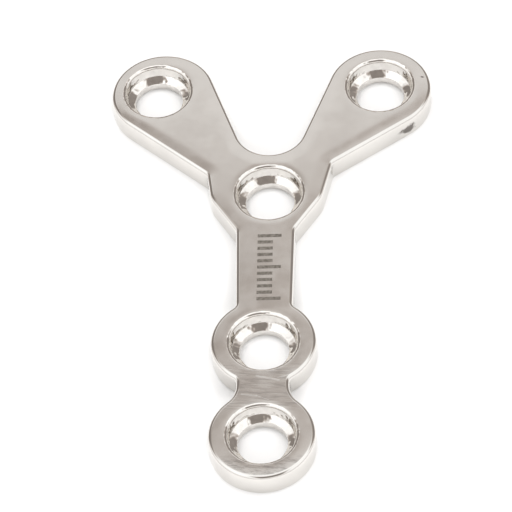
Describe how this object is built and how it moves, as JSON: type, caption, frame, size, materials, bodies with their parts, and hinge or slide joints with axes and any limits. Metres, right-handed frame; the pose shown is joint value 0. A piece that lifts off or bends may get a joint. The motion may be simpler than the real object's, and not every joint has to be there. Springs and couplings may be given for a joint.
{
  "type": "bone plate",
  "caption": "Flat Y-shaped metal plate with round spherically countersunk screw holes, for holding small bone fragments together.",
  "frame": {"origin": "on the junction hole's axis, at the flat bone face", "axes": "+X towards the right arm, +Y from the stem's end hole towards the arms, +Z out of the upper face, where the screws go in"},
  "size_m": [0.0154, 0.0252, 0.0012],
  "materials": {
    "implant_steel": "polished, with fine tool marks between the rings"
  },
  "bodies": {
    "root": {"bone_plate": "implant_steel"}
  },
  "joints": []
}
